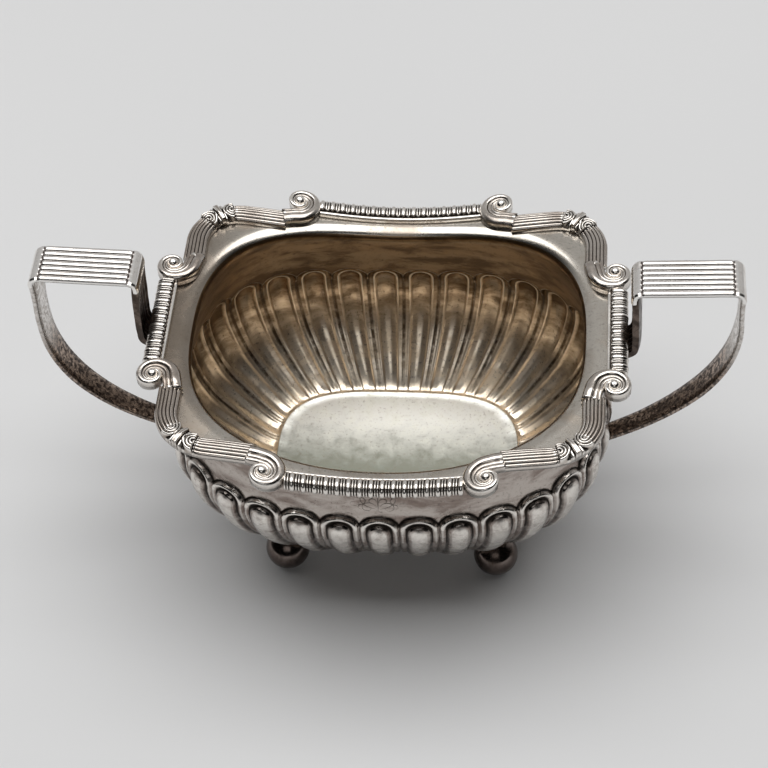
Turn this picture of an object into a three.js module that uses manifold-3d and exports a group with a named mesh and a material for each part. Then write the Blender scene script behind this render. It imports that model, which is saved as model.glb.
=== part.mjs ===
// Two-handled silver sugar bowl on four ball feet.
// Millimetres, +Z up. The origin is on the table, under the middle of the bowl.
// The bowl's long side runs along X, with a handle at each end. The front is -Y.

import * as THREE from 'three';
import Module from 'manifold-3d';
import { mergeVertices } from 'three/addons/utils/BufferGeometryUtils.js';

// ---------------------------------------------------------------- driving dimensions

const GAP = 0.3; // clearance left between two soldered pieces
const WALL = 0.9; // thickness of the raised sheet

const RIM_LOW = 73.5; // height of the border in the middle of the long sides
const RIM_RISE = 7.2; // how much higher the border is at the handles
const RIM_REACH = 67; // half length at which the rise is complete

const MOUTH = { halfX: 57.2, halfY: 46.1, power: 2.7 };
const FLUTES = 33;
const SAMPLES_PER_FLUTE = 3;
const FLOOR_UNDERSIDE = 16.0;

const FLANGE_EDGE = { halfX: 63.0, halfY: 50.0, power: 4 };
const FLANGE_TOP = -2.1; // below the border's height
const FLANGE_LIP = -3.5;
const EAR = 4.9; // how far the flange reaches out under a gadroon run
const EAR_FADE = 3;
const EAR_ZONE = 6; // how near the flange's edge a point lies to be on that side

const BORDER_BASE = FLANGE_TOP + GAP;
const LONG_RUN = { half: 24.6, inner: 51.0, outer: 56.5, units: 16 };
const SHORT_RUN = { half: 15.8, inner: 63.9, outer: 69.7, units: 10 };

const LONG_EYE = [31.0, 53.7]; // eyes of the scrolls beside the long runs
const SHORT_EYE = [66.0, 22.2];
const SCROLL_TOP = 0.5;
const EYE_RADIUS = 1.4;
const SCROLL_TAIL = 4.2; // from the eye to the seam with the reeded corner

const CORNER = { centre: [47.6, 33.8], radius: 12.8, halfWidth: 3.05 };
const REEDS_IN_CORNER = 6;
const CORNER_REED_HEIGHT = 0.35;
const TIE_ANGLE = THREE.MathUtils.degToRad(56);
const TIE_HALF_LENGTH = 5.0;

const GRIP = { inner: 71.2, outer: 100, halfWidth: 6.8, thickness: 1.7, top: 101.9, slope: 0.048 };
const REEDS_IN_GRIP = 7;
const REED_HEIGHT = 0.45;
const STRAP_THICKNESS = 1.5;
const STRAP_SAG = { left: 2.6, right: -0.6 };
const SHOULDER_THICKNESS = 1.7;

const FOOT = { x: 32.2, y: 26.5, radius: 6.75, flatRadius: 1.5, neckRadius: 2.4, sides: 16 };
const COLLAR_RADIUS = 3.0;

// ---------------------------------------------------------------- finishes

function metal(colour, roughness) {
  return new THREE.MeshStandardMaterial({ color: colour, roughness, metalness: 1 });
}

const silver = () => metal(0xb9b2aa, 0.32);
const brightSilver = () => metal(0xcfcac4, 0.24);
const darkSilver = () => metal(0x7d7268, 0.42);

// ---------------------------------------------------------------- closed bodies

// A closed body from shared points and triangles, with its faces turned outwards.
function closedBody(points, triangles) {
  let volume = 0;
  const crossed = new THREE.Vector3();
  for (const [a, b, c] of triangles) {
    volume += crossed.crossVectors(points[b], points[c]).dot(points[a]);
  }
  const faces = volume > 0 ? triangles : triangles.map(([a, b, c]) => [a, c, b]);
  const geometry = new THREE.BufferGeometry().setFromPoints(points);
  geometry.setIndex(faces.flat());
  geometry.computeVertexNormals();
  return geometry;
}

// Triangles that fill a flat outline, turning the same way round as the outline does.
function fillOutline(outline) {
  const clockwise = THREE.ShapeUtils.isClockWise(outline);
  return THREE.ShapeUtils.triangulateShape([...outline], []).map(([a, b, c]) => {
    const sameWay = THREE.ShapeUtils.isClockWise([outline[a], outline[b], outline[c]]) === clockwise;
    return sameWay ? [a, b, c] : [a, c, b];
  });
}

// Quads between rings of equal count. Each end closes on the section's own triangulation.
function loft(rings, endFaces) {
  const count = rings[0].length;
  const last = (rings.length - 1) * count;
  const triangles = [];
  for (let r = 0; r + 1 < rings.length; r += 1) {
    for (let i = 0; i < count; i += 1) {
      const j = (i + 1) % count;
      const a = r * count + i;
      const b = r * count + j;
      triangles.push([a, b, b + count], [a, b + count, a + count]);
    }
  }
  for (const [a, b, c] of endFaces) {
    triangles.push([c, b, a], [last + a, last + b, last + c]);
  }
  return closedBody(rings.flat(), triangles);
}

// Sweeps a flat section through frames. A frame may widen the section or bring its own.
function sweep(section, frames) {
  const outline = section.map(([across, up]) => new THREE.Vector2(across, up));
  const rings = frames.map((frame) =>
    (frame.section ?? section).map(([across, up]) =>
      frame.origin
        .clone()
        .addScaledVector(frame.across, across * (frame.width ?? 1))
        .addScaledVector(frame.up, up),
    ),
  );
  return loft(rings, fillOutline(outline));
}

// Lifts a border piece, built level, onto the rim's rise and fall.
function drape(geometry) {
  const place = geometry.attributes.position;
  for (let i = 0; i < place.count; i += 1) {
    place.setZ(i, place.getZ(i) + rimHeight(place.getX(i)));
  }
  geometry.computeVertexNormals();
  return geometry;
}

// Copies a border piece into another quadrant, keeping its faces outwards.
function intoQuadrant(geometry, signX, signY) {
  const copy = geometry.clone();
  copy.scale(signX, signY, 1);
  if (signX * signY < 0) {
    const index = copy.index;
    for (let i = 0; i < index.count; i += 3) {
      const second = index.getX(i + 1);
      index.setX(i + 1, index.getX(i + 2));
      index.setX(i + 2, second);
    }
  }
  copy.computeVertexNormals();
  return copy;
}

// ---------------------------------------------------------------- boolean joins

const wasm = await Module();
wasm.setup();

function toSolid(geometry) {
  const bare = geometry.clone();
  bare.deleteAttribute('normal');
  bare.deleteAttribute('uv');
  const merged = mergeVertices(bare, 1e-4);
  const vertProperties = new Float32Array(merged.attributes.position.array);
  const triVerts = new Uint32Array(merged.index.array);
  return new wasm.Manifold(new wasm.Mesh({ numProp: 3, vertProperties, triVerts }));
}

function fromSolid(solid) {
  const mesh = solid.getMesh();
  const geometry = new THREE.BufferGeometry();
  geometry.setAttribute('position', new THREE.BufferAttribute(new Float32Array(mesh.vertProperties), 3));
  geometry.setIndex(new THREE.BufferAttribute(new Uint32Array(mesh.triVerts), 1));
  geometry.computeVertexNormals();
  return geometry;
}

// ---------------------------------------------------------------- the bowl's plan

// How far the rim has risen at a given x, from 0 in the middle to 1 at the handles.
function riseAt(x) {
  const u = Math.min(1, Math.abs(x) / RIM_REACH);
  return 1 - (1 - u * u) ** 2.67;
}

function rimHeight(x) {
  return RIM_LOW + RIM_RISE * riseAt(x);
}

// Points spaced evenly round a rounded rectangle, from the middle of the front.
function evenOutline({ halfX, halfY, power }, count) {
  const fine = 1440;
  const points = [];
  const lengths = [0];
  for (let i = 0; i <= fine; i += 1) {
    const angle = (i / fine - 0.25) * 2 * Math.PI;
    const c = Math.cos(angle);
    const s = Math.sin(angle);
    const x = halfX * Math.sign(c) * Math.abs(c) ** (2 / power);
    const y = halfY * Math.sign(s) * Math.abs(s) ** (2 / power);
    points.push(new THREE.Vector2(x, y));
    if (i > 0) {
      lengths.push(lengths[i - 1] + points[i].distanceTo(points[i - 1]));
    }
  }
  const even = [];
  let k = 0;
  for (let i = 0; i < count; i += 1) {
    const target = (lengths[fine] * i) / count;
    while (lengths[k + 1] < target) {
      k += 1;
    }
    const share = (target - lengths[k]) / (lengths[k + 1] - lengths[k]);
    even.push(points[k].clone().lerp(points[k + 1], share));
  }
  return even;
}

// Outward unit normals of a closed outline.
function outwardNormals(outline) {
  return outline.map((_, i) => {
    const before = outline[(i + outline.length - 1) % outline.length];
    const after = outline[(i + 1) % outline.length];
    const along = after.clone().sub(before).normalize();
    return new THREE.Vector2(along.y, -along.x);
  });
}

// The flange reaches further out under the four gadroon runs.
function earAt(x, y) {
  const fade = (edge, value) => THREE.MathUtils.smoothstep(edge - Math.abs(value), 0, EAR_FADE);
  const long = Math.abs(y) > FLANGE_EDGE.halfY - EAR_ZONE ? fade(LONG_RUN.half + EAR_FADE, x) : 0;
  const short = Math.abs(x) > FLANGE_EDGE.halfX - EAR_ZONE ? fade(SHORT_RUN.half + EAR_FADE, y) : 0;
  return EAR * Math.max(long, short);
}

// ---------------------------------------------------------------- body shell

// Floor, fluted stretch and plain band, from the bottom up.
// low is the height in the middle of the long sides, high at the handles.
const OUTSIDE = [
  { halfX: 38.4, halfY: 29.6, power: 3.4, low: FLOOR_UNDERSIDE, high: FLOOR_UNDERSIDE, bulge: 0 },
  { halfX: 40.8, halfY: 31.4, power: 3.2, low: 16.8, high: 16.8, bulge: 0.1 },
  { halfX: 45.3, halfY: 34.6, power: 3.0, low: 19.6, high: 19.6, bulge: 0.8 },
  { halfX: 51.6, halfY: 39.4, power: 2.9, low: 24.8, high: 25.0, bulge: 1.2 },
  { halfX: 58.2, halfY: 44.6, power: 2.8, low: 31.5, high: 32.0, bulge: 1.5 },
  { halfX: 62.3, halfY: 48.4, power: 2.7, low: 38.5, high: 40.0, bulge: 1.7 },
  { halfX: 63.9, halfY: 50.4, power: 2.7, low: 46.0, high: 48.5, bulge: 1.8 },
  { halfX: 63.2, halfY: 50.1, power: 2.7, low: 51.2, high: 54.6, bulge: 1.3 },
  { halfX: 62.6, halfY: 49.8, power: 2.7, low: 52.9, high: 56.6, bulge: 0 },
  { halfX: 61.0, halfY: 48.9, power: 2.7, low: 60.5, high: 65.5, bulge: 0 },
];
// The inside follows the outside at the sheet's thickness.
const INSIDE = OUTSIDE.map((station, k) => {
  const under = OUTSIDE[k - 1] ?? { halfX: 0, halfY: 0, low: FLOOR_UNDERSIDE, high: FLOOR_UNDERSIDE };
  const over = OUTSIDE[k + 1] ?? station;
  const alongX = new THREE.Vector2(over.halfX - under.halfX, over.high - under.high).normalize();
  const alongY = new THREE.Vector2(over.halfY - under.halfY, over.low - under.low).normalize();
  return {
    ...station,
    halfX: station.halfX - WALL * alongX.y,
    halfY: station.halfY - WALL * alongY.y,
    low: station.low + WALL * alongY.x,
    high: station.high + WALL * alongX.x,
  };
});

// Everything above the plain band, whose heights follow the border's.
// grow is measured outwards from the mouth's outline.
const NECK_AND_FLANGE_UNDERSIDE = [
  { grow: WALL + 0.9, below: FLANGE_LIP - WALL - 0.3 },
  { grow: WALL + 2.2, below: FLANGE_TOP - WALL - 0.3 },
];
const MOUTH_AND_FLANGE_TOP = [
  { grow: 0, below: -5.6 },
  { grow: 0.1, below: FLANGE_LIP },
  { grow: 0.9, below: FLANGE_LIP + 0.7 },
  { grow: 2.6, below: FLANGE_TOP - 0.15 },
];

function flutedRing(station) {
  const outline = evenOutline(station, FLUTES * SAMPLES_PER_FLUTE);
  const normals = outwardNormals(outline);
  return outline.map((point, i) => {
    const swell = (1 + Math.cos((2 * Math.PI * i) / SAMPLES_PER_FLUTE)) / 2;
    const out = point.clone().addScaledVector(normals[i], swell * station.bulge);
    const height = station.low + (station.high - station.low) * riseAt(point.x);
    return new THREE.Vector3(out.x, out.y, height);
  });
}

function mouthRing({ grow, below }) {
  const station = { halfX: MOUTH.halfX + grow, halfY: MOUTH.halfY + grow, power: MOUTH.power };
  const outline = evenOutline(station, FLUTES * SAMPLES_PER_FLUTE);
  return outline.map((point) => new THREE.Vector3(point.x, point.y, rimHeight(point.x) + below));
}

function flangeEdgeRing(below) {
  const outline = evenOutline(FLANGE_EDGE, FLUTES * SAMPLES_PER_FLUTE);
  const normals = outwardNormals(outline);
  return outline.map((point, i) => {
    const out = point.clone().addScaledVector(normals[i], earAt(point.x, point.y));
    return new THREE.Vector3(out.x, out.y, rimHeight(out.x) + below);
  });
}

function bodyShell() {
  const rings = [
    ...OUTSIDE.map(flutedRing),
    ...NECK_AND_FLANGE_UNDERSIDE.map(mouthRing),
    flangeEdgeRing(FLANGE_TOP - WALL),
    flangeEdgeRing(FLANGE_TOP),
    ...MOUTH_AND_FLANGE_TOP.toReversed().map(mouthRing),
    ...INSIDE.toReversed().map(flutedRing),
  ];
  const floor = rings[0].map((point) => new THREE.Vector2(point.x, point.y));
  return loft(rings, fillOutline(floor));
}

// ---------------------------------------------------------------- gadroon runs

// Section of a run: a plain fillet on the bowl's side, then a rounded gadroon over the edge.
function gadroonSection(inner, outer, swell) {
  const width = outer - inner;
  const flangeEdge = outer - 0.9;
  return [
    [inner, BORDER_BASE],
    [inner, -0.6],
    [inner + 1.0, -0.3 + swell],
    [inner + 0.55 * width, 0.2 + swell],
    [outer, -0.8],
    [outer, BORDER_BASE - 1.3],
    [flangeEdge, BORDER_BASE - 1.3],
    [flangeEdge, BORDER_BASE],
  ];
}

const CREASE = -0.2; // the section's swell between two gadroons, and on one
const CREST = 0.15;

// A run along X at positive Y. turn swings it round Z afterwards.
function gadroonRun({ half, inner, outer, units }, turn) {
  const frames = [];
  const steps = units * 2;
  for (let k = 0; k <= steps; k += 1) {
    frames.push({
      origin: new THREE.Vector3(-half + (2 * half * k) / steps, 0, 0),
      across: new THREE.Vector3(0, 1, 0),
      up: new THREE.Vector3(0, 0, 1),
      section: gadroonSection(inner, outer, k % 2 === 0 ? CREASE : CREST),
    });
  }
  const geometry = sweep(frames[0].section, frames);
  geometry.rotateZ(turn);
  return drape(geometry);
}

// ---------------------------------------------------------------- scrolls

// Plan of a scroll about its eye. First axis: along the side, towards the corner.
// Second axis: outwards from the bowl.
function scrollOutline() {
  const radii = [8.3, 7.2, 6.1, 5.5, 4.8, 4.2, 3.6];
  const outline = [
    [SCROLL_TAIL, -3.7],
    [SCROLL_TAIL, -9.3],
  ];
  const steps = (radii.length - 1) * 2;
  for (let k = 0; k <= steps; k += 1) {
    const low = Math.min(radii.length - 2, Math.floor(k / 2));
    const radius = THREE.MathUtils.lerp(radii[low], radii[low + 1], k / 2 - low);
    const angle = -Math.PI / 2 - (1.5 * Math.PI * k) / steps;
    outline.push([radius * Math.cos(angle), radius * Math.sin(angle)]);
  }
  return outline;
}

function scroll(eye, along, outwards) {
  const corners = scrollOutline().map(([a, b]) => {
    const x = eye[0] + a * along[0] + b * outwards[0];
    const y = eye[1] + a * along[1] + b * outwards[1];
    return new THREE.Vector2(x, y);
  });
  const plate = new THREE.ExtrudeGeometry(new THREE.Shape(corners), {
    depth: SCROLL_TOP - BORDER_BASE,
    bevelEnabled: false,
  });
  plate.translate(0, 0, BORDER_BASE);
  const eyeBall = new THREE.SphereGeometry(EYE_RADIUS, 10, 6);
  eyeBall.translate(eye[0], eye[1], SCROLL_TOP);
  return drape(fromSolid(toSolid(plate).add(toSolid(eyeBall))));
}

// ---------------------------------------------------------------- reeded corners and ties

const LONG_SEAM = LONG_EYE[0] + SCROLL_TAIL;
const SHORT_SEAM = SHORT_EYE[1] + SCROLL_TAIL;
const LONG_STRAIGHT = CORNER.centre[0] - LONG_SEAM;
const QUARTER_ARC = (CORNER.radius * Math.PI) / 2;
const SHORT_STRAIGHT = CORNER.centre[1] - SHORT_SEAM;
const CORNER_LENGTH = LONG_STRAIGHT + QUARTER_ARC + SHORT_STRAIGHT;
const TIE_PLACE = LONG_STRAIGHT + CORNER.radius * (Math.PI / 2 - TIE_ANGLE);

// The corner's centre line in plan, from the long side's scroll to the short side's.
function cornerFrame(distance) {
  const [cx, cy] = CORNER.centre;
  const turned = THREE.MathUtils.clamp((distance - LONG_STRAIGHT) / CORNER.radius, 0, Math.PI / 2);
  const angle = Math.PI / 2 - turned;
  const before = Math.min(0, distance - LONG_STRAIGHT);
  const after = Math.max(0, distance - LONG_STRAIGHT - QUARTER_ARC);
  const x = cx + CORNER.radius * Math.cos(angle) + before;
  const y = cy + CORNER.radius * Math.sin(angle) - after;
  return {
    origin: new THREE.Vector3(x, y, 0),
    across: new THREE.Vector3(Math.cos(angle), Math.sin(angle), 0),
    up: new THREE.Vector3(0, 0, 1),
  };
}

function cornerSweep(section, from, to, steps) {
  const frames = [];
  for (let k = 0; k <= steps; k += 1) {
    frames.push(cornerFrame(from + ((to - from) * k) / steps));
  }
  return drape(sweep(section, frames));
}

// Round reeds side by side on a slightly arched bar.
function reededSection(halfWidth, reeds) {
  const section = [
    [halfWidth, BORDER_BASE],
    [-halfWidth, BORDER_BASE],
  ];
  for (let k = 0; k <= reeds * 2; k += 1) {
    const across = -halfWidth + (k * halfWidth) / reeds;
    const arch = 0.5 * (1 - (across / halfWidth) ** 2);
    section.push([across, -0.55 + arch + (k % 2 === 0 ? 0 : CORNER_REED_HEIGHT)]);
  }
  return section;
}

function tieSection(crown) {
  const half = CORNER.halfWidth + 0.35;
  return [
    [half, BORDER_BASE],
    [-half, BORDER_BASE],
    [-half, -0.6],
    [-half + 1.4, crown - 0.2],
    [0, crown],
    [half - 1.4, crown - 0.2],
    [half, -0.6],
  ];
}

function cornerTie() {
  const profile = [
    [-TIE_HALF_LENGTH, 0.15],
    [-1.9, 0.45],
    [-1.1, 0.2],
    [-0.9, 0.75],
    [0.9, 0.75],
    [1.1, 0.2],
    [1.9, 0.45],
    [TIE_HALF_LENGTH, 0.15],
  ];
  const frames = profile.map(([offset, crown]) => ({
    ...cornerFrame(TIE_PLACE + offset),
    section: tieSection(crown),
  }));
  return drape(sweep(frames[0].section, frames));
}

// ---------------------------------------------------------------- handles

// The right-hand handle. The left-hand one is the same, turned half a turn about Z.

function gripSection(reedHeight) {
  const section = [
    [GRIP.halfWidth, -GRIP.thickness],
    [-GRIP.halfWidth, -GRIP.thickness],
  ];
  for (let k = 0; k <= REEDS_IN_GRIP * 2; k += 1) {
    const across = -GRIP.halfWidth + (k * GRIP.halfWidth) / REEDS_IN_GRIP;
    section.push([across, k % 2 === 0 ? -reedHeight : 0]);
  }
  return section;
}

function gripPlate() {
  const stations = [
    [GRIP.inner, 0],
    [GRIP.inner + 2.0, 0],
    [GRIP.inner + 2.4, REED_HEIGHT],
    [GRIP.outer - 3.0, REED_HEIGHT],
    [GRIP.outer - 2.6, 0],
    [GRIP.outer, 0],
  ];
  const frames = stations.map(([x, reedHeight]) => ({
    origin: new THREE.Vector3(x, 0, GRIP.top + (x - GRIP.inner) * GRIP.slope),
    across: new THREE.Vector3(0, 1, 0),
    up: new THREE.Vector3(0, 0, 1),
    section: gripSection(reedHeight),
  }));
  return sweep(frames[0].section, frames);
}

// A flat band whose centre line lies in the plane y = 0 and whose width changes evenly
// between the given half widths.
function flatBand(curvePoints, halfWidths, thickness, steps) {
  const line = new THREE.CatmullRomCurve3(curvePoints.map(([x, z]) => new THREE.Vector3(x, 0, z)));
  const section = [
    [1, -thickness / 2],
    [1, thickness / 2],
    [-1, thickness / 2],
    [-1, -thickness / 2],
  ];
  const frames = [];
  for (let k = 0; k <= steps; k += 1) {
    const along = line.getTangentAt(k / steps);
    const place = (k / steps) * (halfWidths.length - 1);
    const low = Math.min(halfWidths.length - 2, Math.floor(place));
    frames.push({
      origin: line.getPointAt(k / steps),
      across: new THREE.Vector3(0, 1, 0),
      up: new THREE.Vector3(-along.z, 0, along.x),
      width: THREE.MathUtils.lerp(halfWidths[low], halfWidths[low + 1], place - low),
    });
  }
  return sweep(section, frames);
}

// Points down the strap: x, z and how much of the strap's own sag each one takes.
const STRAP_LINE = [
  [99.2, 101.1, 0],
  [101.1, 94.0, 0],
  [101.6, 84.0, 0.1],
  [99.8, 72.0, 0.7],
  [94.5, 60.0, 1],
  [86.0, 49.5, 1],
  [76.0, 41.0, 0.7],
  [61.0, 31.9, 0],
];
const STRAP_HALF_WIDTHS = [6.6, 5.6, 4.9, 4.4, 3.8, 3.3, 3.0];

const SHOULDER_LINE = [
  [72.3, 99.6],
  [71.9, 94.0],
  [71.7, 88.0],
  [72.3, 81.5],
  [72.0, 76.4],
  [68.6, 74.0],
  [60.3, 73.2],
];
const SHOULDER_HALF_WIDTHS = [6.4, 5.9, 5.4, 5.2, 4.8, 4.2];

// The two straps were bent by hand, and one hangs a little lower than the other.
function strap(sag) {
  const line = STRAP_LINE.map(([x, z, share]) => [x + 0.5 * sag * share, z - sag * share]);
  return flatBand(line, STRAP_HALF_WIDTHS, STRAP_THICKNESS, 16);
}

// ---------------------------------------------------------------- feet

const BALL_CENTRE = Math.sqrt(FOOT.radius ** 2 - FOOT.flatRadius ** 2);
const BALL_TOP = BALL_CENTRE + Math.sqrt(FOOT.radius ** 2 - FOOT.neckRadius ** 2);

// A ball cut flat below, where it stands, and above, where its collar sits.
function ballFoot() {
  const { radius, flatRadius, neckRadius } = FOOT;
  const from = -Math.acos(flatRadius / radius);
  const to = Math.acos(neckRadius / radius);
  const profile = [new THREE.Vector2(0, 0)];
  const steps = 7;
  for (let k = 0; k <= steps; k += 1) {
    const angle = from + ((to - from) * k) / steps;
    profile.push(new THREE.Vector2(radius * Math.cos(angle), BALL_CENTRE + radius * Math.sin(angle)));
  }
  profile.push(new THREE.Vector2(0, profile.at(-1).y));
  return lathe(profile, FOOT.sides);
}

function footCollar() {
  const bottom = BALL_TOP + GAP;
  const top = FLOOR_UNDERSIDE - GAP;
  return lathe(
    [
      new THREE.Vector2(0, bottom),
      new THREE.Vector2(COLLAR_RADIUS - 0.5, bottom),
      new THREE.Vector2(COLLAR_RADIUS, bottom + 0.7),
      new THREE.Vector2(COLLAR_RADIUS - 0.3, top),
      new THREE.Vector2(0, top),
    ],
    FOOT.sides,
  );
}

// Turned about the upright axis.
function lathe(profile, segments) {
  const geometry = new THREE.LatheGeometry(profile, segments);
  geometry.rotateX(Math.PI / 2);
  return geometry;
}

// ---------------------------------------------------------------- assembly

const bowl = new THREE.Group();

function add(parent, name, geometry, material) {
  const mesh = new THREE.Mesh(geometry, material);
  mesh.name = name;
  parent.add(mesh);
  return mesh;
}

add(bowl, 'body_shell', bodyShell(), silver());

const runs = [
  ['gadroon_back', LONG_RUN, 0],
  ['gadroon_front', LONG_RUN, Math.PI],
  ['gadroon_left', SHORT_RUN, Math.PI / 2],
  ['gadroon_right', SHORT_RUN, -Math.PI / 2],
];
for (const [name, run, turn] of runs) {
  add(bowl, name, gadroonRun(run, turn), brightSilver());
}

const quadrants = [
  ['back_right', 1, 1],
  ['back_left', -1, 1],
  ['front_left', -1, -1],
  ['front_right', 1, -1],
];
const longScroll = scroll(LONG_EYE, [1, 0], [0, 1]);
const shortScroll = scroll(SHORT_EYE, [0, 1], [1, 0]);
const reeding = reededSection(CORNER.halfWidth, REEDS_IN_CORNER);
const toLongScroll = cornerSweep(reeding, GAP, TIE_PLACE - TIE_HALF_LENGTH - GAP, 5);
const toShortScroll = cornerSweep(reeding, TIE_PLACE + TIE_HALF_LENGTH + GAP, CORNER_LENGTH - GAP, 5);
const tie = cornerTie();
for (const [place, signX, signY] of quadrants) {
  add(bowl, `scroll_long_${place}`, intoQuadrant(longScroll, signX, signY), brightSilver());
  add(bowl, `scroll_short_${place}`, intoQuadrant(shortScroll, signX, signY), brightSilver());
  add(bowl, `reeding_long_${place}`, intoQuadrant(toLongScroll, signX, signY), silver());
  add(bowl, `reeding_short_${place}`, intoQuadrant(toShortScroll, signX, signY), silver());
  add(bowl, `tie_${place}`, intoQuadrant(tie, signX, signY), brightSilver());
}

for (const [side, turn, sag] of [['right', 0, STRAP_SAG.right], ['left', Math.PI, STRAP_SAG.left]]) {
  const handle = new THREE.Group();
  handle.rotation.z = turn;
  bowl.add(handle);
  add(handle, `handle_grip_${side}`, gripPlate(), brightSilver());
  add(handle, `handle_strap_${side}`, strap(sag), darkSilver());
  const shoulder = flatBand(SHOULDER_LINE, SHOULDER_HALF_WIDTHS, SHOULDER_THICKNESS, 14);
  add(handle, `handle_shoulder_${side}`, shoulder, darkSilver());
}

for (const [place, signX, signY] of quadrants) {
  const leg = new THREE.Group();
  leg.position.set(signX * FOOT.x, signY * FOOT.y, 0);
  bowl.add(leg);
  add(leg, `foot_ball_${place}`, ballFoot(), darkSilver());
  add(leg, `foot_collar_${place}`, footCollar(), darkSilver());
}

export default bowl;
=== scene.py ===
import math

import bpy
import numpy as np
from mathutils import Matrix, Vector


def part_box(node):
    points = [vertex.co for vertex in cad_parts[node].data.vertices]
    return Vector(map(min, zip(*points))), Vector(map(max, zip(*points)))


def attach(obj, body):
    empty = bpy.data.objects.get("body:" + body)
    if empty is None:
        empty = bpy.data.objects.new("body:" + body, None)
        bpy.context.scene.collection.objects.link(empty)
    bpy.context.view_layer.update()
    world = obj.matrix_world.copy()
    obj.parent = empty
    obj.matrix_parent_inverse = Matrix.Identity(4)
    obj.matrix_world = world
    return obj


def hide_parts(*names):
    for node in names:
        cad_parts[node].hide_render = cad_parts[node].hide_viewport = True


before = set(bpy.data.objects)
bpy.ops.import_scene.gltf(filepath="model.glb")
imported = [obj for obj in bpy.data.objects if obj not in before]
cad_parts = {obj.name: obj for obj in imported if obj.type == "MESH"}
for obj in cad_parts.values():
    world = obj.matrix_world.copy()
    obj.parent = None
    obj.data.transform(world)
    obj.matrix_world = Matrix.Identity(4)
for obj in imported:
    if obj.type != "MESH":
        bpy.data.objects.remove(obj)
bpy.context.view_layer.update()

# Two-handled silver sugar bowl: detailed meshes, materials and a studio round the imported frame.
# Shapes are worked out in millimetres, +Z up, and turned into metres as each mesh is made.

MM = 0.001
QUADRANTS = {"back_right": (1, 1), "back_left": (-1, 1), "front_left": (-1, -1), "front_right": (1, -1)}

# ---------------------------------------------------------------- dimensions of the bowl


def box_mm(node):
    low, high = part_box(node)
    return np.array(low) / MM, np.array(high) / MM


RIM_LOW = 73.5  # height of the border in the middle of the long sides
RIM_RISE = 7.2  # how much higher it is at the handles
RIM_REACH = 67.0  # half length at which the rise is complete
RIM_CURVE = 2.67
SHEET = 0.9  # thickness of the raised sheet
FLUTES = 33
ACROSS_FLUTE = 28  # points across one flute
COLUMNS = FLUTES * ACROSS_FLUTE

# Rings of the outside: half length, half width, squareness, height in the middle of the long
# sides and height at the handles.
OUTSIDE = np.array([
    (38.4, 29.6, 3.4, 16.0, 16.0),
    (40.8, 31.4, 3.2, 16.8, 16.8),
    (45.3, 34.6, 3.0, 19.6, 19.6),
    (51.6, 39.4, 2.9, 24.8, 25.0),
    (58.2, 44.6, 2.8, 31.5, 32.0),
    (62.3, 48.4, 2.7, 38.5, 40.0),
    (63.9, 50.4, 2.7, 46.0, 48.5),
    (62.6, 49.8, 2.7, 52.9, 56.6),
    (61.0, 48.9, 2.7, 60.5, 65.5),
    (59.0, 47.9, 2.7, 68.8, 76.0),
])
ARCH_RING = 7  # the ring at the top of the flutes' arches
MOUTH = (57.2, 46.1, 2.7)  # half length, half width and squareness
FLANGE_EDGE = (63.0, 50.0, 4.0)
FLANGE_TOP = -2.1  # below the border's height
EAR = 4.9  # how far the flange reaches out under a gadroon run
EAR_FADE = 3.0
EAR_ZONE = 6.0  # how near the flange's edge a point lies to be on that side
OUTLINE_STEPS = 8001


def rim_rise(x):
    u = np.minimum(1, np.abs(x) / RIM_REACH)
    return 1 - (1 - u * u) ** RIM_CURVE


def rim_height(x):
    return RIM_LOW + RIM_RISE * rim_rise(x)


# ---------------------------------------------------------------- curves


def smooth(value, start, end):
    t = np.clip((value - start) / (end - start), 0, 1)
    return t * t * (3 - 2 * t)


def dome(distance, half):
    """A round-backed ridge: 1 on its line, 0 at half a width from it."""
    return np.sqrt(np.clip(1 - (distance / half) ** 2, 0, 1))


def through(points, count):
    """count places along a smooth curve through the points, spaced as the points are."""
    points = np.asarray(points, float)
    steps = np.linalg.norm(np.diff(points, axis=0), axis=1)
    knots = np.concatenate([[0], np.cumsum(steps)])
    return through_at(points, knots, np.linspace(0, knots[-1], count))


def through_at(points, knots, places):
    """A smooth curve through the points, read at the given places."""
    slopes = np.diff(points, axis=0) / np.diff(knots)[:, None]
    share = (np.diff(knots)[1:] / (knots[2:] - knots[:-2]))[:, None]
    inner = slopes[:-1] * share + slopes[1:] * (1 - share)
    tangents = np.vstack([slopes[:1], inner, slopes[-1:]])
    k = np.clip(np.searchsorted(knots, places, side="right") - 1, 0, len(knots) - 2)
    gap = (knots[k + 1] - knots[k])[:, None]
    t = (places - knots[k])[:, None] / gap
    from_start = (1 + 2 * t) * (1 - t) ** 2 * points[k] + t * (1 - t) ** 2 * gap * tangents[k]
    from_end = t * t * (3 - 2 * t) * points[k + 1] + t * t * (t - 1) * gap * tangents[k + 1]
    return from_start + from_end


# ---------------------------------------------------------------- meshes


def band_faces(rows, columns, closed=True, first=0):
    """Quads between neighbouring rows of points."""
    wide = columns if closed else columns - 1
    i = np.arange(wide)
    j = (i + 1) % columns
    r = np.arange(rows - 1)[:, None] * columns + first
    return np.stack([r + i, r + j, r + columns + j, r + columns + i], -1).reshape(-1, 4)


def loft(rings):
    """A closed body from rings of points, with a fan over each end, as points, quads and triangles."""
    rings = np.asarray(rings, float)
    rows, columns, _ = rings.shape
    points = np.vstack([rings.reshape(-1, 3), rings[0].mean(0), rings[-1].mean(0)])
    i = np.arange(columns)
    j = (i + 1) % columns
    last = (rows - 1) * columns
    bottom = np.stack([j, i, np.full(columns, rows * columns)], 1)
    top = np.stack([last + i, last + j, np.full(columns, rows * columns + 1)], 1)
    return outwards((points, band_faces(rows, columns), np.vstack([bottom, top])))


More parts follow.
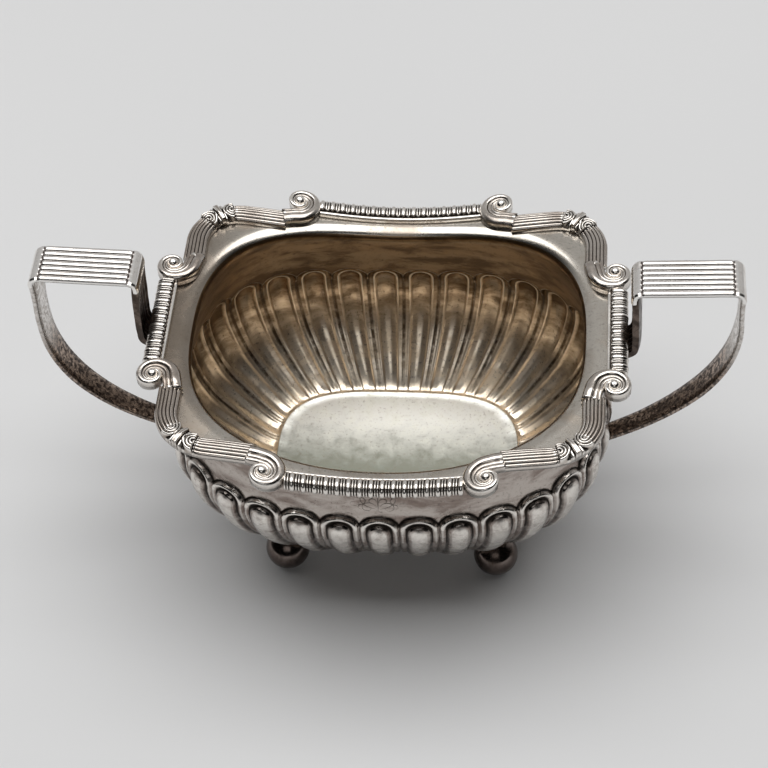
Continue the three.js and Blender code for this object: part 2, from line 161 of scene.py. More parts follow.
def signed_volume(body):
    points, quads, triangles = body
    corners = np.vstack([triangles, quads[:, :3], quads[:, [0, 2, 3]]])
    a, b, c = points[corners[:, 0]], points[corners[:, 1]], points[corners[:, 2]]
    return np.einsum("ij,ij->", np.cross(b, c), a)


def outwards(body):
    """The same body with its faces turned outwards."""
    if signed_volume(body) > 0:
        return body
    points, quads, triangles = body
    return points, quads[:, ::-1], triangles[:, ::-1]


def joined(bodies):
    """Several closed bodies as one."""
    points, quads, triangles = [], [], []
    first = 0
    for some_points, some_quads, some_triangles in bodies:
        points.append(some_points)
        quads.append(some_quads + first)
        triangles.append(some_triangles + first)
        first += len(some_points)
    return np.vstack(points), np.vstack(quads), np.vstack(triangles)


def moved(body, change):
    """The body with its points put through a function. A mirroring turns the faces round."""
    points, quads, triangles = body
    return outwards((change(points), quads, triangles))


def mirrored(body, signs):
    return moved(body, lambda points: points * np.array([*signs, 1.0]))


def make_piece(name, body, material, nodes, sharp=None):
    """A mesh object in metres that stands for the CAD nodes and rides with them."""
    points, quads, triangles = body
    mesh = bpy.data.meshes.new(name)
    mesh.from_pydata((points * MM).tolist(), [], quads.tolist() + triangles.tolist())
    mesh.update()
    mesh.shade_smooth()
    if sharp is not None:
        mesh.set_sharp_from_angle(angle=math.radians(sharp))
    piece = bpy.data.objects.new(name, mesh)
    bpy.context.scene.collection.objects.link(piece)
    for finish in material if isinstance(material, (list, tuple)) else [material]:
        mesh.materials.append(finish)
    mark_relief(mesh)
    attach(piece, "root")
    if nodes:
        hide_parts(*nodes)
    return piece


RELIEF_REACH = 2  # rounds of averaging that widen the marks
TIGHT_BEND = 0.0006  # metres: a crease or ridge of about this radius gets the full mark


def mark_relief(mesh):
    """Stores how far each point lies in a crease (below 0.5) or on a ridge (above 0.5)."""
    count = len(mesh.vertices)
    place = np.zeros(count * 3)
    mesh.vertices.foreach_get("co", place)
    place = place.reshape(-1, 3)
    normal = np.zeros(count * 3)
    mesh.vertices.foreach_get("normal", normal)
    normal = normal.reshape(-1, 3)
    ends = np.zeros(len(mesh.edges) * 2, int)
    mesh.edges.foreach_get("vertices", ends)
    a, b = ends.reshape(-1, 2).T
    degree = np.maximum(np.bincount(a, minlength=count) + np.bincount(b, minlength=count), 1)

    def around(value):
        return (np.bincount(a, value[b], count) + np.bincount(b, value[a], count)) / degree

    nearby = np.stack([around(place[:, k]) for k in range(3)], 1)
    step = np.linalg.norm(place[a] - place[b], axis=1) ** 2
    spacing = (np.bincount(a, step, count) + np.bincount(b, step, count)) / degree
    bend = np.einsum("ij,ij->i", place - nearby, normal) / np.maximum(spacing, 1e-10)
    for _ in range(RELIEF_REACH):
        bend = (bend + 2 * around(bend)) / 3
    layer = mesh.attributes.new("relief", "FLOAT", "POINT")
    layer.data.foreach_set("value", np.clip(0.5 + TIGHT_BEND * bend, 0, 1).astype(np.float32))


def drape(body):
    """Lifts a level border piece onto the rim's rise and fall."""
    def lift(points):
        return points + np.outer(rim_height(points[:, 0]), [0, 0, 1])

    return moved(body, lift)


# ---------------------------------------------------------------- materials


def new_material(name):
    material = bpy.data.materials.new(name)
    material.use_nodes = True
    tree = material.node_tree
    return material, tree, tree.nodes["Principled BSDF"]


def add_node(tree, kind, **settings):
    node = tree.nodes.new(kind)
    for key, value in settings.items():
        setattr(node, key, value)
    return node


def link(tree, source, target):
    tree.links.new(source, target)


def noise(tree, place, scale, detail=4.0, roughness=0.6, distortion=0.0):
    node = add_node(tree, "ShaderNodeTexNoise")
    node.inputs["Scale"].default_value = scale
    node.inputs["Detail"].default_value = detail
    node.inputs["Roughness"].default_value = roughness
    node.inputs["Distortion"].default_value = distortion
    link(tree, place, node.inputs["Vector"])
    return node.outputs["Fac"]


def ramp(tree, value, low, high, out_low=0.0, out_high=1.0):
    node = add_node(tree, "ShaderNodeMapRange", interpolation_type="SMOOTHSTEP")
    node.inputs["From Min"].default_value = low
    node.inputs["From Max"].default_value = high
    node.inputs["To Min"].default_value = out_low
    node.inputs["To Max"].default_value = out_high
    link(tree, value, node.inputs["Value"])
    return node.outputs["Result"]


def calculate(tree, operation, *values):
    node = add_node(tree, "ShaderNodeMath", operation=operation)
    for socket, value in zip(node.inputs, values):
        if isinstance(value, (int, float)):
            socket.default_value = value
        else:
            link(tree, value, socket)
    return node.outputs[0]


def blend_colours(tree, share, first, second):
    node = add_node(tree, "ShaderNodeMix", data_type="RGBA")
    link(tree, share, node.inputs["Factor"])
    for socket, colour in ((node.inputs[6], first), (node.inputs[7], second)):
        if isinstance(colour, tuple):
            socket.default_value = (*colour, 1)
        else:
            link(tree, colour, socket)
    return node.outputs[2]


WAVER = 0.024  # metres by which the clouds move the boundary between two pairs of colours
SMUDGE = 0.06  # how far noise blurs the marks of creases and ridges
SMUDGE_SCALE = 500.0
CREASE_DULLNESS = 0.25
SCRATCH_STRENGTH = 0.05
SCRATCH_HEIGHT = 0.0001
DENT_HEIGHT = 0.0008
DENT_SCALE = 130.0
MARK_SCALE = 420.0


def toned_metal(name, clean, toned, crease, toning=(0.42, 0.62), patch=70.0, gloss=0.16, dull=0.36,
                crease_reach=(0.47, 0.33), wear_and_sheen=None, sheen_from=(0.55, 0.72), below=None,
                speckle=0.25, dents=0.03, marks=False, grain=1200.0, streak=1.0):
    """Silver with cloudy toning, creases darkened partly by sulphide tarnish and partly by painted shade,
    ridges lightened partly by wear and partly by a painted highlight, fine scratches and soft dents.

    patch and grain are noise scales. below is an axis, the stretch along it in metres over which a
    second pair of colours gives way to the first, and that pair.
    """
    material, tree, shader = new_material(name)
    place = add_node(tree, "ShaderNodeTexCoord").outputs["Object"]
    stretched = add_node(tree, "ShaderNodeMapping")
    stretched.inputs["Scale"].default_value = (1.0, 1.0, streak)
    link(tree, place, stretched.inputs["Vector"])
    cloud = noise(tree, stretched.outputs["Vector"], patch, detail=6.0, roughness=0.62, distortion=0.4)
    share = ramp(tree, cloud, *toning)
    colour = blend_colours(tree, share, clean, toned)
    if below is not None:
        axis, low, high, low_clean, low_toned = below
        along = add_node(tree, "ShaderNodeSeparateXYZ")
        link(tree, place, along.inputs[0])
        uneven = calculate(tree, "MULTIPLY_ADD", cloud, WAVER, -WAVER / 2)
        reach = ramp(tree, calculate(tree, "ADD", along.outputs[axis], uneven), low, high)
        colour = blend_colours(tree, reach, blend_colours(tree, share, low_clean, low_toned), colour)
    fine_grain = noise(tree, place, grain, detail=3.0, roughness=0.7)
    spots = ramp(tree, fine_grain, 0.54, 0.72, 0.0, speckle)
    colour = blend_colours(tree, spots, colour, crease)
    relief = add_node(tree, "ShaderNodeAttribute", attribute_name="relief").outputs["Fac"]
    smudged = calculate(tree, "MULTIPLY_ADD", noise(tree, place, SMUDGE_SCALE), SMUDGE, -SMUDGE / 2)
    uneven_relief = calculate(tree, "ADD", relief, smudged)
    # Creases and hollows found from the surface's bend take the crease colour: partly sulphide tarnish,
    # partly painted shade standing in for occlusion.
    deep = ramp(tree, uneven_relief, crease_reach[1], crease_reach[0], 1.0, 0.0)
    # Ridges found from the surface's bend take the wear colour: partly rubbed silver, partly a painted
    # highlight along the edges.
    if wear_and_sheen is not None:
        ridge = ramp(tree, uneven_relief, *sheen_from)
        colour = blend_colours(tree, ridge, colour, wear_and_sheen)
    colour = blend_colours(tree, deep, colour, crease)
    # The shell's marks: tarnish with painted shade in the flutes' creases, and wear with a painted
    # highlight on rims and panels.
    if marks:
        patchy = ramp(tree, noise(tree, place, MARK_SCALE, detail=5.0), 0.3, 0.6, 0.45, 1.0)
        for mark, shade in (("tarnish_and_shade", crease), ("wear_and_highlight", wear_and_sheen)):
            amount = add_node(tree, "ShaderNodeAttribute", attribute_name=mark).outputs["Fac"]
            colour = blend_colours(tree, calculate(tree, "MULTIPLY", amount, patchy), colour, shade)
    link(tree, colour, shader.inputs["Base Color"])
    shader.inputs["Metallic"].default_value = 1.0
    rough = ramp(tree, calculate(tree, "ADD", share, spots), 0.0, 1.2, gloss, dull)
    rough = calculate(tree, "ADD", rough, calculate(tree, "MULTIPLY", deep, CREASE_DULLNESS))
    link(tree, rough, shader.inputs["Roughness"])
    fine = add_node(tree, "ShaderNodeBump")
    fine.inputs["Strength"].default_value = SCRATCH_STRENGTH
    fine.inputs["Distance"].default_value = SCRATCH_HEIGHT
    link(tree, fine_grain, fine.inputs["Height"])
    soft = add_node(tree, "ShaderNodeBump")
    soft.inputs["Strength"].default_value = dents
    soft.inputs["Distance"].default_value = DENT_HEIGHT
    link(tree, noise(tree, place, DENT_SCALE, detail=2.0, roughness=0.5), soft.inputs["Height"])
    link(tree, fine.outputs["Normal"], soft.inputs["Normal"])
    link(tree, soft.outputs["Normal"], shader.inputs["Normal"])
    return material


# Black of silver sulphide, also used as painted shade in creases and hollows.
SULPHIDE_AND_SHADE_BLACK = (0.03, 0.024, 0.02)
MATERIALS = {
    "outside": toned_metal("toned_silver_outside", (0.50, 0.45, 0.41), (0.24, 0.19, 0.165), SULPHIDE_AND_SHADE_BLACK,
                           wear_and_sheen=(0.80, 0.76, 0.71), toning=(0.38, 0.64), patch=65.0, gloss=0.2, dull=0.34,
                           speckle=0.4, marks=True, streak=3.0),
    # Flange. Towards its left end, X from -42 to -66 mm, it takes a darker pair of colours, painted shade
    # for a darker reflection.
    "flange": toned_metal("silver_flange_painted_shade_left", (0.60, 0.56, 0.50), (0.40, 0.34, 0.28), (0.10, 0.08, 0.06),
                          toning=(0.42, 0.7), patch=80.0, gloss=0.2, dull=0.34, speckle=0.45,
                          below=("X", -0.066, -0.042, (0.28, 0.232, 0.186), (0.16, 0.125, 0.096))),
    # Gilding. Below 22 to 50 mm height it takes a far lighter pair of colours, painted light where the
    # lower wall reflects the lamps.
    "inside": toned_metal("gilding_painted_light_below", (0.215, 0.138, 0.075), (0.10, 0.06, 0.03), (0.075, 0.05, 0.03),
                          wear_and_sheen=(0.80, 0.68, 0.54), toning=(0.4, 0.62), patch=75.0, gloss=0.28, dull=0.4,
                          crease_reach=(0.36, 0.1), sheen_from=(0.58, 0.72), speckle=0.6, marks=True,
                          grain=900.0, streak=3.0,
                          below=("Z", 0.022, 0.050, (0.98, 0.86, 0.70), (0.82, 0.68, 0.51))),
    # Floor panel. Its near-white colour is a painted reflection of the overhead softbox, and the grey-green
    # pair in front of Y = -4 to 20 mm is a painted reflection of the backdrop.
    "floor": toned_metal("silver_floor_painted_reflection", (0.95, 0.94, 0.88), (0.84, 0.83, 0.75), (0.3, 0.25, 0.2),
                         toning=(0.4, 0.7), patch=260.0, gloss=0.42, dull=0.5, speckle=0.5, grain=1100.0,
                         below=("Y", -0.004, 0.020, (0.30, 0.305, 0.25), (0.24, 0.255, 0.21))),
    # Cast border. Towards its left end, X from -40 to -66 mm, it takes a darker pair of colours, painted
    # shade for a darker reflection.
    "border": toned_metal("cast_silver_border", (0.58, 0.53, 0.48), (0.36, 0.31, 0.27), SULPHIDE_AND_SHADE_BLACK,
                          wear_and_sheen=(0.84, 0.8, 0.75), toning=(0.42, 0.7), patch=90.0, gloss=0.2, dull=0.36,
                          crease_reach=(0.49, 0.41), sheen_from=(0.53, 0.64),
                          below=("X", -0.066, -0.040, (0.46, 0.4, 0.35), (0.26, 0.21, 0.175))),
    "grip": toned_metal("reeded_silver_grip", (0.86, 0.825, 0.79), (0.66, 0.61, 0.565), (0.06, 0.045, 0.04),
                        wear_and_sheen=(0.92, 0.9, 0.87), toning=(0.46, 0.74), gloss=0.2, dull=0.34,
                        crease_reach=(0.5, 0.42), dents=0.0),
    # Strap. Below 66 to 80 mm height it takes a far darker pair of colours.
    "strap": toned_metal("strap_silver_darker_below", (0.74, 0.71, 0.68), (0.5, 0.46, 0.42), (0.02, 0.016, 0.012),
                         wear_and_sheen=(0.74, 0.7, 0.66), toning=(0.38, 0.6), patch=800.0, gloss=0.18, dull=0.42,
                         below=("Z", 0.066, 0.080, (0.40, 0.31, 0.25), (0.055, 0.038, 0.03)), speckle=0.6),
    "leaf": toned_metal("tarnished_leaf", (0.15, 0.115, 0.095), (0.055, 0.04, 0.032), SULPHIDE_AND_SHADE_BLACK,
                        wear_and_sheen=(0.30, 0.255, 0.22), sheen_from=(0.62, 1.0), toning=(0.36, 0.56), patch=260.0,
                        gloss=0.26, dull=0.42, speckle=0.6),
    "engraving": toned_metal("engraved_line", (0.2, 0.17, 0.15), (0.1, 0.085, 0.07), SULPHIDE_AND_SHADE_BLACK),
    "foot": toned_metal("tarnished_foot", (0.19, 0.155, 0.14), (0.08, 0.06, 0.05), SULPHIDE_AND_SHADE_BLACK,
                        toning=(0.4, 0.68), patch=160.0, gloss=0.14, dull=0.3),
}

# ---------------------------------------------------------------- body shell


def rounded_rings(rows):
    """Rings of evenly spaced points round rounded rectangles, and each ring's length."""
    turn = (np.linspace(0, 1, OUTLINE_STEPS) - 0.25) * 2 * np.pi
    c, s = np.cos(turn), np.sin(turn)
    rings, lengths = [], []
    for half_x, half_y, power, low, high in rows:
        x = half_x * np.sign(c) * np.abs(c) ** (2 / power)
        y = half_y * np.sign(s) * np.abs(s) ** (2 / power)
        run = np.concatenate([[0], np.cumsum(np.hypot(np.diff(x), np.diff(y)))])
        at = np.arange(COLUMNS) / COLUMNS * run[-1]
        x, y = np.interp(at, run, x), np.interp(at, run, y)
        rings.append(np.stack([x, y, low + (high - low) * rim_rise(x)], 1))
        lengths.append(run[-1])
    return np.array(rings), np.array(lengths)


def surface_normals(rings):
    """Unit normals of a surface of rings, pointing away from the bowl's middle."""
    around = np.roll(rings, -1, 1) - np.roll(rings, 1, 1)
    along = np.gradient(rings, axis=0)
    normals = np.cross(around, along)
    return normals / np.maximum(np.linalg.norm(normals, axis=2, keepdims=True), 1e-9)


def inside_rows(rows):
    """The same rings moved in by the sheet's thickness."""
    step = np.gradient(rows, axis=0)
    along_x = step[:, [0, 4]] / np.linalg.norm(step[:, [0, 4]], axis=1, keepdims=True)
    along_y = step[:, [1, 3]] / np.linalg.norm(step[:, [1, 3]], axis=1, keepdims=True)
    moved = rows.copy()
    moved[:, 0] -= SHEET * along_x[:, 1]
    moved[:, 1] -= SHEET * along_y[:, 1]
    moved[:, 3] += SHEET * along_y[:, 0]
    moved[:, 4] += SHEET * along_x[:, 0]
    return moved


FLOOR_DISH = 0.55  # how far the floor panel sinks towards its middle
ARCH_FLATTENING = 1.3
ROLL_FADE = (3.4, 6.5)  # below the arch's top, the stretch over which the roll round it fades
STEP_FADE = (3.6, 7.0)  # where the flutes of the inside run into one another
ROLL_HALF = 0.95
RISE = 0.55  # how far a step or a panel's edge takes to rise
PANEL_TOP = 2.3  # below the arch's top
PANEL_SHARE = 0.31  # half a panel's width, in flute widths
STEP_DEPTH = 0.95
PANEL_DEPTH = 0.75
PILLOW = 0.7
# How full the flutes are at each ring of the bowl, from the foot of the wall to the mouth.
FULLNESS = [(0, 0.06), (0.4, 0.3), (1, 0.4), (2, 0.55), (3, 0.7), (4, 0.85), (5, 0.95), (6, 1.0), (9, 1.0)]


def flute_relief(aside, down, pitch, crisp):
    """How far the chased flutes stand out, with a mark of wear and painted highlight and a mark of tarnish
    and painted shade. crisp is 1 outside.
    """
    half = pitch / 2
    in_arch = half - np.hypot(aside, np.maximum(0, half - down * ARCH_FLATTENING))
    panel = PANEL_SHARE * pitch
    in_panel = panel - np.hypot(aside, np.maximum(0, panel + PANEL_TOP - down))
    step = smooth(in_arch, 0, RISE / crisp)
    step = STEP_DEPTH * (step if crisp == 1 else np.maximum(step, smooth(down, *STEP_FADE)))
    under_arch = 1 - smooth(down, *ROLL_FADE)
    roll = 0.5 * dome(in_arch - ROLL_HALF, ROLL_HALF) * (0.25 + 0.75 * under_arch) * crisp ** 2
    crease = -0.16 * dome(in_arch + 0.25, 0.4) * (down > 0) * crisp
    edge = PANEL_DEPTH * smooth(in_panel, -0.05, RISE / crisp)
    lip = -0.16 * dome(in_panel + 0.15, 0.45)
    swell = PILLOW * smooth(in_panel, 0, 2.6) * (1 - 0.5 * (aside / panel) ** 2)
    lifted = step + roll + crease + edge + lip + swell
    below = down > -0.8
    if crisp == 1:
        # Wear with a painted highlight: bright rolled rims along the arches and bright panel middles.
        on_roll = smooth(dome(in_arch - 1.0, ROLL_HALF) * under_arch, 0.5, 0.9)
        wear_and_highlight = np.maximum(smooth(in_panel, 0.9, 1.5), on_roll)
        # Tarnish with painted shade: a dark line just outside each arch and the recess between the arch's
        # rim and the panel.
        beside_panel = 0.8 * (in_arch > 1.7) * (1 - smooth(in_panel, 0.2, 0.8))
        tarnish_and_shade = np.maximum(0.7 * dome(in_arch + 0.2, 0.35), beside_panel)
    else:
        # Wear with a painted highlight: thin bright lines along the panels' edges.
        wear_and_highlight = dome(in_panel - 0.15, 0.42) * (down > 1.0)
        # Tarnish with painted shade: dark along the arches and just outside the lower panels.
        between = dome(in_panel + 0.65, 0.42) * (down > 1.0) * (1 - smooth(down, 5.0, 16.0))
        tarnish_and_shade = np.maximum(dome(in_arch - 0.1, 0.6), 0.3 * between)
    return lifted * below, wear_and_highlight * below, tarnish_and_shade * below


def fluted(rows, places, crisp):
    """Rings between the given rows, with the flutes chased into them."""
    knots = np.arange(len(rows), dtype=float)
    rings, lengths = rounded_rings(through_at(rows, knots, places))
    arch = int(np.argmin(np.abs(places - ARCH_RING)))
    steps = np.linalg.norm(np.diff(rings, axis=0), axis=2)
    run = np.vstack([np.zeros(COLUMNS), np.cumsum(steps, axis=0)])
    down = run[arch] - run
    pitch = (lengths / FLUTES)[:, None]
    turn = np.arange(COLUMNS) / ACROSS_FLUTE
    aside = (turn - np.round(turn)) * pitch
    fullness = np.interp(places, *zip(*FULLNESS))[:, None]
    relief, wear_and_highlight, tarnish_and_shade = flute_relief(aside, down, pitch, crisp)
    chased = rings + surface_normals(rings) * (relief * fullness)[:, :, None]
    return chased, wear_and_highlight * smooth(fullness, 0.1, 0.5), tarnish_and_shade * smooth(fullness, 0.1, 0.8)


def ear(x, y):
    """How far the flange reaches out at a place on its edge."""
    def fade(edge, value):
        return smooth(edge - np.abs(value), 0, EAR_FADE)

    run_x = box_mm("gadroon_back")[1][0]
    run_y = box_mm("gadroon_right")[1][1]
    long_side = fade(run_x + EAR_FADE, x) * (np.abs(y) > FLANGE_EDGE[1] - EAR_ZONE)
    short_side = fade(run_y + EAR_FADE, y) * (np.abs(x) > FLANGE_EDGE[0] - EAR_ZONE)
    return EAR * np.maximum(long_side, short_side)


def rim_row(shape, grow, below):
    half_x, half_y, power = shape
    low = RIM_LOW + below
    return (half_x + grow, half_y + grow, power, low, low + RIM_RISE)


def flange_rings():
    """From the neck's outside, round the flange's edge and over the lip to the mouth's inside."""
    edge, _ = rounded_rings([rim_row(FLANGE_EDGE, 0, FLANGE_TOP)])
    edge = edge[0]
    ahead = np.roll(edge, -1, 0) - np.roll(edge, 1, 0)
    out = np.stack([ahead[:, 1], -ahead[:, 0]], 1)
    out /= np.linalg.norm(out, axis=1, keepdims=True)
    edge[:, :2] += out * ear(edge[:, 0], edge[:, 1])[:, None]
    edge[:, 2] = rim_height(edge[:, 0]) + FLANGE_TOP
    under, _ = rounded_rings([rim_row(MOUTH, 3.2, FLANGE_TOP - SHEET - 0.1)])
    lip_rows = [
        rim_row(MOUTH, 4.4, FLANGE_TOP),
        rim_row(MOUTH, 3.3, FLANGE_TOP - 0.1),
        rim_row(MOUTH, 2.2, FLANGE_TOP - 0.4),
        rim_row(MOUTH, 1.2, FLANGE_TOP - 0.95),
        rim_row(MOUTH, 0.4, FLANGE_TOP - 1.75),
        rim_row(MOUTH, 0.05, FLANGE_TOP - 2.7),
        rim_row(MOUTH, 0.1, FLANGE_TOP - 3.7),
    ]
    lip, _ = rounded_rings(through(lip_rows, 22))
    lower = edge - np.array([0, 0, SHEET])
    rings = [under[0] + (lower - under[0]) * t for t in (0, 0.35, 0.7, 0.95, 1.0)]
    rings += [edge]
    rings += [edge + (lip[0] - edge) * t for t in (0.04, 0.2, 0.4, 0.6, 0.8, 0.92)]
    rings += list(lip)
    return np.array(rings)


def disc_rings(edge, count, height, dish=0.0):
    """Rings that shrink from an edge ring to a small hole at the middle, which may be dished."""
    rings = []
    for k in range(1, count + 1):
        share = 1 - k / (count + 0.3)
        ring = edge * np.array([share, share, 1.0])
        ring[:, 2] = height - dish * (1 - share ** 2)
        rings.append(ring)
    return np.array(rings)


def body_shell():
    """The bowl as one closed body, the count of rings in each stretch of it, and its marks."""
    arches = np.linspace(5.55, 7.12, 46)  # closer rings where the flutes end in arches
    places = np.concatenate([np.linspace(0, 5.5, 44), arches, np.linspace(7.2, 9, 12)])
    outside, outside_wear_and_highlight, outside_tarnish_and_shade = fluted(OUTSIDE, places, crisp=1.0)
    inner = inside_rows(OUTSIDE)
    inner[-1] = rim_row(MOUTH, 0.6, FLANGE_TOP - 5.2)
    inside, inside_wear_and_highlight, inside_tarnish_and_shade = fluted(inner, places, crisp=0.85)
    flange = flange_rings()
    floor_height = inside[0][:, 2].mean()
    edge = inside[0].copy()
    bead = np.array([edge * (s, s, 1) + (0, 0, h) for s, h in ((0.994, 0.16), (0.985, 0.2), (0.975, 0.02))])
    floor = disc_rings(edge * (0.965, 0.965, 1), 16, floor_height, FLOOR_DISH)
    under = disc_rings(outside[0] * (0.99, 0.99, 1), 8, outside[0][:, 2].mean())
    rings = np.concatenate([under[::-1], outside, flange, inside[::-1], bead, floor])
    counts = [len(under), len(outside), len(flange), len(inside), len(bead) + len(floor)]
    marks = {}
    sides = {"wear_and_highlight": (outside_wear_and_highlight, inside_wear_and_highlight), "tarnish_and_shade": (outside_tarnish_and_shade, inside_tarnish_and_shade)}
    for name, (on_outside, on_inside) in sides.items():
        layer = np.zeros(rings.shape[:2])
        layer[counts[0]:sum(counts[:2])] = on_outside
        layer[sum(counts[:3]):sum(counts[:4])] = on_inside[::-1]
        marks[name] = np.append(layer.ravel(), [0, 0])
    return loft(rings), counts, marks


NECK_ROWS = 5  # rows of faces under the flange that look like the outside
GILT_LIP_ROWS = 9  # rows of faces on the lip that look like the inside


def make_shell():
    body, counts, marks = body_shell()
    finishes = [MATERIALS[key] for key in ("outside", "flange", "inside", "floor")]
    piece = make_piece("raised_bowl", body, finishes, ["body_shell"])
    row = np.arange(len(body[1])) // COLUMNS
    starts = np.cumsum(counts)
    finish = np.zeros(len(body[1]) + len(body[2]), np.int32)
    quads = finish[:len(body[1])]
    quads[row >= starts[1] + NECK_ROWS] = 1
    quads[row >= starts[2] - GILT_LIP_ROWS] = 2
    quads[row >= starts[3]] = 3
    finish[-COLUMNS:] = 3
    piece.data.polygons.foreach_set("material_index", finish)
    for name, values in marks.items():
        layer = piece.data.attributes.new(name, "FLOAT", "POINT")
        layer.data.foreach_set("value", values.astype(np.float32))


make_shell()

# ---------------------------------------------------------------- engraving

LINE_WIDTH = 0.15
FLOURISH_SCALE = 1.2
FLOURISH_HEIGHT = 58.6
CURL_STEPS = 44
PROUD = 0.03  # how far a line stands out of the surface, and how deep it goes into it
SUNK = 0.1


def front_surface(x, z):
    """The plain band's outside at the front, in the middle of the bowl."""
    half_x = np.interp(z, OUTSIDE[7:, 3], OUTSIDE[7:, 0])
    half_y = np.interp(z, OUTSIDE[7:, 3], OUTSIDE[7:, 1])
    return -half_y * (1 - np.abs(x / half_x) ** 2.7) ** (1 / 2.7)


def curl(start, heading, bend, tighten, length):
    """A flat curve that bends steadily tighter, as a spiral tendril does."""
    points = [start]
    for k in range(CURL_STEPS):
        heading += (bend + tighten * k / CURL_STEPS) * length / CURL_STEPS
        x, z = points[-1]
        ahead, up = math.cos(heading) * length / CURL_STEPS, math.sin(heading) * length / CURL_STEPS
        points.append((x + ahead, z + up))
    return points


def engraved_line(line):
    """A thin dark line that lies in the surface."""
    line = np.array(line)
    count = len(line)
    rings = []
    for k, (x, z) in enumerate(line):
        ahead, behind = line[min(k + 1, count - 1)], line[max(k - 1, 0)]
        dx, dz = (ahead - behind) / np.linalg.norm(ahead - behind)
        width = LINE_WIDTH * (0.35 + math.sin(math.pi * k / (count - 1)))
        y = front_surface(x, z)
        aside = np.array([-dz, 0.0, dx]) * width
        middle = np.array([x, y, z])
        rings.append([middle + aside, middle - (0, PROUD, 0), middle - aside, middle + (0, SUNK, 0)])
    return loft(rings)


def flourish():
    """Leafy tendrils either side of a small sprig."""
    strokes = [
        curl((0.4, -1.9), math.radians(20), -0.05, 0.95, 9.0),
        curl((0.4, -1.0), math.radians(62), -0.35, -0.75, 8.0),
        curl((2.6, -1.4), math.radians(75), -0.5, -1.3, 5.0),
        curl((4.6, 0.0), math.radians(-70), 0.5, 1.5, 4.5),
        curl((0.25, 0.6), math.radians(78), -0.6, -1.2, 3.6),
        curl((5.2, 1.7), math.radians(160), 0.2, 1.4, 4.2),
    ]
    strokes += [[(-x, z) for x, z in stroke] for stroke in strokes]
    strokes.append([(0.0, z) for z in np.linspace(-2.6, 3.2, 20)])
    lines = [np.array(stroke) * FLOURISH_SCALE + (0.0, FLOURISH_HEIGHT) for stroke in strokes]
    return joined([engraved_line(line) for line in lines])


make_piece("engraved_flourish", flourish(), MATERIALS["engraving"], [])

# ---------------------------------------------------------------- gadroon runs

FOOTING = FLANGE_TOP - 0.1  # where the border pieces meet the flange
FILLET = 1.0
LONG_UNITS = 16
SHORT_UNITS = 10
ROWS_PER_UNIT = 26
FACE_POINTS = 30
RUN_MARGIN = 0.4  # how far a run goes on under the scroll at each end


def gadroon_relief(along, across, pitch):
    """A wide gadroon, then two thin ribs that join in an arch at the bowl's side."""
    place = (along / pitch) % 1.0
    wide = 0.245 * pitch
    aside = (place - 0.27) * pitch
    radius = np.hypot(aside, np.maximum(0, wide - (across - 0.1)))
    gadroon = 0.7 * dome(radius, wide)
    bend, rib = 0.125 * pitch, 0.1 * pitch
    aside = (place - 0.77) * pitch
    radius = np.hypot(aside, np.maximum(0, bend + rib - (across - 0.05)))
    return gadroon + 0.55 * dome(radius - bend, rib)


def gadroon_run(half, inner, outer, units):
    """A run along X at positive Y, level."""
    width = outer - inner
    face = through([
        (inner + FILLET + 0.15, -0.75),
        (inner + FILLET + 0.75, -0.28),
        (inner + 0.5 * width, 0.0),
        (inner + 0.78 * width, -0.16),
        (outer - 0.4, -0.95),
        (outer - 0.35, -2.0),
        (outer - 0.8, -3.0),
    ], FACE_POINTS)
    fillet = [(inner, FOOTING), (inner, -0.8), (inner + 0.18, -0.55), (inner + FILLET - 0.2, -0.5)]
    underside = [(outer - 1.0, -3.3), (outer - 1.3, -3.3), (outer - 1.3, FOOTING)]
    base = np.vstack([fillet, face, underside])
    step = np.gradient(base, axis=0)
    normal = np.stack([-step[:, 1], step[:, 0]], 1)
    normal /= np.linalg.norm(normal, axis=1, keepdims=True)
    run = np.concatenate([[0], np.cumsum(np.linalg.norm(np.diff(base, axis=0), axis=1))])
    across = run - run[len(fillet)]
    face_end = len(fillet) + FACE_POINTS
    fade_out = smooth(np.arange(len(base)), face_end - 2, face_end + 0.5)
    fade = smooth(across, 0.0, 0.35) * (1 - fade_out)
    pitch = 2 * half / units
    rings = []
    for x in np.linspace(-half, half, units * ROWS_PER_UNIT + 1):
        lift = gadroon_relief(x + half, across, pitch) * fade
        section = base + normal * lift[:, None]
        rings.append(np.stack([np.full(len(base), x), section[:, 0], section[:, 1]], 1))
    return loft(rings)


def turned(body, quarter_turns):
    angle = quarter_turns * math.pi / 2
    c, s = math.cos(angle), math.sin(angle)
    turn = np.array([[c, s, 0], [-s, c, 0], [0, 0, 1]])
    return moved(body, lambda points: points @ turn)


def make_gadroon_runs():
    low, high = box_mm("gadroon_back")
    long_run = gadroon_run(high[0] + RUN_MARGIN, low[1], high[1], LONG_UNITS)
    low, high = box_mm("gadroon_right")
    short_run = gadroon_run(high[1] + RUN_MARGIN, low[0], high[0], SHORT_UNITS)
    runs = [("back", long_run, 0), ("front", long_run, 2), ("left", short_run, 1), ("right", short_run, -1)]
    for side, run, turns in runs:
        body = drape(turned(run, turns))
        node = f"gadroon_{side}"
        make_piece(f"gadroon_border_{side}", body, MATERIALS["border"], [node])


make_gadroon_runs()

# ---------------------------------------------------------------- scrolls

